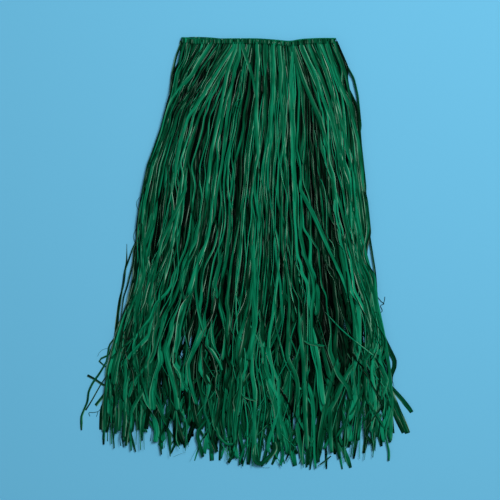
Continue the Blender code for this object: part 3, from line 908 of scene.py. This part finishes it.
# along the middle of the pressed wall
foldRadius = (skirt["bandWall"] + skirt["bandSlit"]) / 2
foldLength = math.pi * foldRadius
sideLength = skirt["bandRight"] - skirt["bandLeft"] - 2 * foldRadius - skirt["bandWall"]
ringLength = 2 * (sideLength + foldLength)


def ringPlace(s):
    # Place s along the pressed ring: front from left to right, the right fold, the back, the left fold. Gives
    # the middle of the wall as x and z, its outward direction and the share of the front side.
    s = np.mod(s, ringLength)
    back = sideLength + foldLength
    folded = np.clip(s - sideLength, 0, foldLength) + np.clip(s - back - sideLength, 0, foldLength)
    outX, outZ = np.sin(folded / foldRadius), np.cos(folded / foldRadius)
    x = skirt["bandLeft"] + foldRadius + skirt["bandWall"] / 2
    x = x + np.clip(s, 0, sideLength) - np.clip(s - back, 0, sideLength)
    z = skirt["bandWall"] + skirt["bandSlit"] / 2
    return x + foldRadius * outX, z + foldRadius * outZ, outX, outZ, (1 + outZ) / 2


def ringPoint(s, out, down):
    # a point that lies out from the middle of the wall at s and down by that share of the band's height
    x, z, outX, outZ, front = ringPlace(s)
    top = bandTop(x, "front") * front + bandTop(x, "back") * (1 - front)
    return toFrame(x + out * outX, top + down * skirt["bandHeight"], z + out * outZ)


def twine(ply, turns, outward, down, tint):
    # two plies turning round each other along the ring, offset = ply * (cos, sin)(turns)
    share = np.linspace(0, 1, turns * waistband["turnSteps"], endpoint=False)[None, :]
    angle = 2 * np.pi * turns * share + np.array([[0.0], [np.pi]])
    path = ringPoint(ringLength * share, outward + ply * np.cos(angle),
                     down + ply * np.sin(angle) / skirt["bandHeight"])
    return tubes(path, ply, waistband["plySides"], tint, waistband["twineAge"], closed=True)


def makeWaistband():
    rng = np.random.default_rng(waistband["seed"])

    # loops: an upside-down U over the wall, with f from -1 to 1,
    # out = wall / 2 * sin(90 deg * shoulder |f|) and down = topDown + |f|^downPower
    each, pitch = (waistband["loops"], 1), ringLength / waistband["loops"]
    f = np.linspace(-1, 1, waistband["loopSteps"])[None, :]
    part = np.abs(f)
    place = (np.arange(waistband["loops"])[:, None] + rng.normal(0, waistband["placeSpread"], each)) * pitch
    place = place + rng.normal(0, waistband["leanSpread"], each) * part
    out = skirt["bandWall"] / 2 * np.sign(f) * np.sin(np.pi / 2 * np.clip(waistband["shoulder"] * part, 0, 1))
    bulge = waistband["bulge"] * (1 + rng.normal(0, waistband["bulgeSpread"], each))
    out = out + bulge * np.clip(f, 0, 1)
    down = waistband["topDown"] + part ** waistband["downPower"] * rng.uniform(*waistband["downs"], each)
    middle = ringPoint(place, out, down)
    ahead = ringPoint(place + waistband["ahead"], out, down)
    breadth = waistband["narrow"] + waistband["wider"] * np.sin(np.pi * part ** waistband["widePower"])
    breadth = pitch * waistband["width"] * breadth * rng.uniform(*waistband["widths"], each)
    tint = waistband["tint"] + rng.normal(0, waistband["tintSpread"], each)
    loops = ribbons(middle, breadth, 0.0, waistband["curl"], waistband["thick"], tint, waistband["age"],
                    side=ahead - middle)

    # core: a plain wall inside the loops, so that no light comes through between them; tinted near the
    # darkest dye, as painted shade between the loops
    steps = waistband["coreSteps"]
    s = ringLength * np.arange(steps)[None, :, None] / steps
    outs = np.array([-0.5, -0.5, 0.5, 0.5]) * waistband["coreThick"]
    upper, lower = waistband["coreDowns"]
    points = ringPoint(s, outs + 0 * s, np.array([lower, upper, upper, lower]) + 0 * s).reshape(-1, 3)
    row, corner = np.arange(steps)[:, None] * 4, np.arange(4)
    after = (corner + 1) % 4
    nextRow = (row + 4) % (steps * 4)
    quads = np.stack([row + corner, row + after, nextRow + after, nextRow + corner], axis=-1)
    none = np.zeros(len(points))
    core = {"points": points, "faces": quads.reshape(-1, 4).tolist(), "uv": points[:, :2], "edge": none,
            "rim": np.ones(len(points), bool), "tint": none + waistband["coreShadeTint"], "age": none}
    batches = [core, loops, twine(*waistband["rim"]), twine(*waistband["foot"])]
    return makePiece("loopedWaistband", batches, raffia, "waistband")


band = makeWaistband()


# Pale stitches that catch the light along the rim: photo column and row, lean in degrees and length
# in mm
cottonThread = {
    "colour": "#bdeedd",
    # darker colour in the ply's grooves, painted shade
    "groove": "#86cbb5",
    "ply": 0.0009,  # metres from one turn of the thread's ply to the next
    "roughness": 0.8,
    "specular": 0.2,
    "radius": 0.00034,
    "sides": 6,
    "steps": 7,
    "over": 0.0003,  # from the front loops up to the middle of a stitch
    "arch": 0.0012,
    "backRow": 37.5,  # a stitch above this row is on the back half, which shows above the front's edge
    "backLift": 0.0006,
    "stitches": [
        (196, 36.6, 80, 3.4), (208.5, 43.5, 50, 3.0), (222, 39.5, 10, 1.6), (240.5, 38.6, 0, 2.0),
        (258.2, 40.8, 85, 2.6), (269, 42.4, 75, 2.4), (272.5, 42.8, 20, 1.6), (275, 42.6, 60, 1.8),
        (279, 43.2, 70, 2.4), (286.5, 43.0, 15, 1.5), (232, 38.8, 20, 1.4),
    ],
}


def stainedCotton(finish):
    # Spun cotton sewing thread, tinted by the raffia's dye: a dull pale green with a faint ply, its grooves
    # painted darker as shade
    material, tree, surface = newMaterial("dye-stained cotton thread", {
        "Roughness": finish["roughness"],
        "Specular IOR Level": finish["specular"],
    })
    fibres = addNode(tree, "ShaderNodeUVMap", uv_map="fibres").outputs["UV"]
    ply = addNode(tree, "ShaderNodeTexWave", {"Vector": fibres}, {"Scale": 1 / finish["ply"]},
                  wave_type="BANDS", bands_direction="DIAGONAL").outputs["Fac"]
    shade = addNode(tree, "ShaderNodeValToRGB", {"Fac": ply}, stops=[
        (0.0, hexColour(finish["groove"])), (1.0, hexColour(finish["colour"])),
    ])
    tree.links.new(shade.outputs["Color"], surface.inputs["Base Color"])
    return material


def makeStitches():
    rows = np.array(cottonThread["stitches"], float)
    x, drop = photoRoute(rows[:, :2])
    lean, length = np.radians(rows[:, 2:3]), rows[:, 3:4] * mm
    t = np.linspace(-0.5, 0.5, cottonThread["steps"])[None, :]
    alongX, alongDrop = x[:, None] + np.cos(lean) * length * t, drop[:, None] - np.sin(lean) * length * t
    front = 2 * skirt["bandWall"] + skirt["bandSlit"] + waistband["bulge"] + cottonThread["over"]
    front = front - cottonThread["arch"] * (2 * t) ** 2
    back = skirt["bandWall"] + cottonThread["backLift"] * (1 - (2 * t) ** 2)
    z = np.where(rows[:, 1:2] < cottonThread["backRow"], back, front)
    route = toFrame(alongX, alongDrop, z)
    stitches = tubes(route, cottonThread["radius"], cottonThread["sides"], tint=0.5, age=0.0)
    return makePiece("cottonStitches", [stitches], stainedCotton(cottonThread))


stitches = makeStitches()


# Loose ends drawn from the photo: curls of frizz, broken pieces and folded tips. Places as column and row,
# width in mm, height over the pile in mm and tint.
looseEnds = {
    "frizz": [
        ([(241.5, 84), (241.3, 92), (241, 99), (238, 101), (235.2, 103.5), (236.5, 106), (239.5, 108)],
         1.2, 2.6, 0.80),
        ([(235.6, 103), (234, 108), (232.6, 114)], 0.9, 2.2, 0.74),
        ([(374, 292), (378, 297), (382, 302), (385, 304), (381, 306), (383, 311), (380, 313), (375, 312)],
         1.3, 0.6, 0.20),
        ([(385.5, 297), (385, 301), (383.5, 305)], 1.1, 0.6, 0.20),
        ([(139, 197), (136.5, 201), (136, 205), (137.5, 209), (140, 212)], 0.8, 0.6, 0.30),
        ([(136, 228), (133.5, 233), (133, 238), (135, 243), (137, 240)], 0.8, 0.6, 0.30),
        ([(185, 370), (180, 378), (176, 372), (170, 373)], 0.4, 0.8, 0.75),
        ([(222, 368), (217, 371), (212, 370), (208, 373)], 0.5, 0.8, 0.85),
        ([(97, 357), (98.5, 353.5), (101.5, 350.5), (106, 349), (110, 350.3)], 0.5, 0.3, 0.45),
        ([(101.5, 407), (98, 411.8), (93, 413.2), (88.3, 413.4), (89.2, 417)], 1.0, 0.4, 0.30),
        ([(97.5, 412), (95.8, 417.5)], 0.9, 0.4, 0.30),
        ([(352, 388), (354, 393), (360, 394), (363, 388), (361, 383)], 0.5, 0.8, 0.80),
        ([(255, 452), (258, 462), (263, 468), (270, 468)], 0.4, 0.4, 0.5),
        ([(173, 458), (179, 455), (186, 452)], 0.35, 0.2, 0.45),
        ([(391, 378), (393.5, 382.5), (394.6, 387)], 0.5, 0.3, 0.35),
    ],
    "pieces": [
        ([(126.3, 244), (126, 262), (124.7, 270), (122.7, 286), (119.2, 298), (117.3, 311), (115.4, 327),
          (114.3, 342)], 4.0, 0.5, 0.16),
        ([(107, 388), (99, 383), (93, 379), (86.8, 375.7)], 4.6, 0.4, 0.30),
        ([(108, 373), (99.6, 386), (91.4, 400.5), (85, 411)], 2.6, 0.3, 0.30),
        ([(102.5, 402), (101.3, 415), (101, 424), (101, 430.5)], 9.0, 0.4, 0.28),
        ([(116, 404), (116.3, 419), (115, 434)], 6.0, 0.5, 0.50),
        ([(120, 398), (120.3, 414), (119, 431)], 7.0, 0.6, 0.58),
        ([(124.5, 404), (125, 420), (123.5, 437)], 6.5, 0.5, 0.52),
        ([(111, 422), (113, 437), (113.5, 449)], 2.4, 0.3, 0.40),
        ([(130, 420), (127.5, 434), (126, 446)], 4.8, 0.4, 0.36),
        ([(108, 390), (101.5, 398), (95, 406)], 6.0, 0.4, 0.46),
        ([(303, 340), (309, 343), (316, 344.5), (324, 346)], 4.6, 1.2, 0.66),
        ([(325, 312), (340, 328), (356, 342), (374, 356)], 2.2, 1.4, 0.85),
        ([(147, 373), (151, 376), (155, 380)], 4.4, 1.0, 0.62),
        ([(255, 444), (254.5, 454), (256, 462), (261, 463.5), (267, 459), (272, 454), (275, 448), (274, 442)],
         8.0, 0.6, 0.46),
        ([(216, 425), (219, 436), (226, 443), (233, 444)], 5.0, 0.8, 0.60),
        ([(318, 466), (325, 461), (331, 456)], 2.8, 0.5, 0.45),
        ([(387, 428), (392, 431)], 2.0, 0.3, 0.42),
        ([(393, 407), (396, 416), (400, 425), (404.5, 433.5)], 8.0, 0.3, 0.40),
        ([(390, 398), (392.5, 414), (394.5, 434)], 3.0, 0.3, 0.30),
        ([(207, 345), (213, 352), (219, 362), (222, 370)], 5.0, 1.3, 0.80),
        ([(243, 396), (250, 399), (256, 400)], 3.4, 0.8, 0.62),
    ],
    "seed": 77,
    "steps": 26,
    "edgeRoom": 0.008,  # over which they come down from the pile to the floor at its sides
    "hemDrops": (-0.01, 0.01),  # and at the hem line
    "rising": (0.4, 10),  # wander of their height: share, and wave in photo pixels
    "twisting": (0.35, 30),
    "frizzSides": 5,
    "point": (0.2, 0.25),  # width of a piece's first end and where it is full, both as shares
    "curl": 0.12,
    "thick": 0.0003,
    "frizzAge": 1.2,
    "pieceAge": 0.9,
}


def roundRoute(spots, steps):
    # a smooth line through the places, at even shares of its length: each stretch is a Catmull-Rom cubic
    spots = np.array(spots, float)
    padded = np.vstack([2 * spots[0] - spots[1], spots, 2 * spots[-1] - spots[-2]])
    t = np.linspace(0, 1, 12, endpoint=False)[:, None]
    line = [0.5 * (2 * b + (c - a) * t + (2 * a - 5 * b + 4 * c - d) * t**2 + (3 * b - a - 3 * c + d) * t**3)
            for a, b, c, d in zip(padded, padded[1:], padded[2:], padded[3:])]
    line = np.vstack([*line, spots[-1:]])
    length = np.concatenate([[0], np.linalg.norm(np.diff(line, axis=0), axis=1).cumsum()])
    even = np.linspace(0, length[-1], steps)
    return np.stack([np.interp(even, length, line[:, 0]), np.interp(even, length, line[:, 1])], axis=1)


def makeLooseEnds():
    rng = np.random.default_rng(looseEnds["seed"])
    batches = []
    for sort in ("frizz", "pieces"):
        rows = looseEnds[sort]
        flat = np.stack([roundRoute(row[0], looseEnds["steps"]) for row in rows])
        x, drop = [axis.reshape(flat.shape[:2]) for axis in photoRoute(flat.reshape(-1, 2))]
        width, over, tint = [np.array([row[k] for row in rows])[:, None] for k in (1, 2, 3)]
        left, right = sideEdges(drop)
        hem = lookUp(hemLine, (x - left) / (right - left))
        onPile = ramp((x - left) / looseEnds["edgeRoom"]) * ramp((right - x) / looseEnds["edgeRoom"])
        onPile = onPile * (1 - rise(drop - hem, *looseEnds["hemDrops"]))
        share, wave = looseEnds["rising"]
        over = over * mm * (1 + share * wander(rng, flat[:, :, 0], wave))
        z = np.maximum(pileHeight(np.clip(x, left, right), drop) * onPile + over, skirt["lowest"])
        route = toFrame(x, drop, z)
        if sort == "frizz":
            sides, age = looseEnds["frizzSides"], looseEnds["frizzAge"]
            batches.append(tubes(route, width * mm / 2, sides, tint, age))
        else:
            size, wave = looseEnds["twisting"]
            twist = size * wander(rng, flat[:, :, 1], wave)
            thin, full = looseEnds["point"]
            torn = thin + (1 - thin) * ramp(np.linspace(0, 1, looseEnds["steps"]) / full)
            batches.append(ribbons(route, width * mm * torn, twist, looseEnds["curl"], looseEnds["thick"],
                                   tint, looseEnds["pieceAge"]))
    return makePiece("looseEnds", batches, raffia)


loose = makeLooseEnds()

# The floor, the light and the camera
stage = {
    "floor": "#70cbf3",
    "floorSize": 30.0,
    "floorRoughness": 0.85,
    "lamps": (  # name, place, power in watts and size
        ("key", (1.30, 1.50, 3.20), 99.0, 1.5),
        ("fill", (-1.8, -1.4, 2.4), 3.0, 1.6),
    ),
    "skyColour": "#f7fcff",
    "sky": 0.20,
    "lens": 85.0,
    "sensor": 36.0,
    "photoWidth": 500,  # pixels
    "centre": (0.0072, 0.0077),
    "height": 0.010,  # of the plane that the photo's scale was taken at
}


def makeStage():
    bpy.ops.mesh.primitive_plane_add(size=stage["floorSize"], location=(0, 0, 0))
    floor = bpy.context.object
    floor.name = "floor"
    floor.data.materials.append(newMaterial("pale backdrop paper", {
        "Base Color": hexColour(stage["floor"]),
        "Roughness": stage["floorRoughness"],
    })[0])

    for name, place, power, size in stage["lamps"]:
        lamp = bpy.data.lights.new(name, "AREA")
        lamp.energy = power
        lamp.size = size
        holder = bpy.data.objects.new(name, lamp)
        scene.collection.objects.link(holder)
        holder.location = place
        holder.rotation_euler = (Vector((0, 0, 0)) - Vector(place)).to_track_quat("-Z", "Y").to_euler()

    world = bpy.data.worlds.new("studio")
    scene.world = world
    world.use_nodes = True
    sky = world.node_tree.nodes["Background"]
    sky.inputs["Color"].default_value = hexColour(stage["skyColour"])
    sky.inputs["Strength"].default_value = stage["sky"]

    lens = bpy.data.cameras.new("camera")
    camera = bpy.data.objects.new("camera", lens)
    scene.collection.objects.link(camera)
    lens.lens, lens.sensor_width = stage["lens"], stage["sensor"]
    across = stage["photoWidth"] * skirt["pixel"]
    camera.location = (*stage["centre"], stage["height"] + across * stage["lens"] / stage["sensor"])
    camera.rotation_euler = (0, 0, 0)
    scene.camera = camera
    scene.view_settings.view_transform = "Standard"


makeStage()
print("stage made")
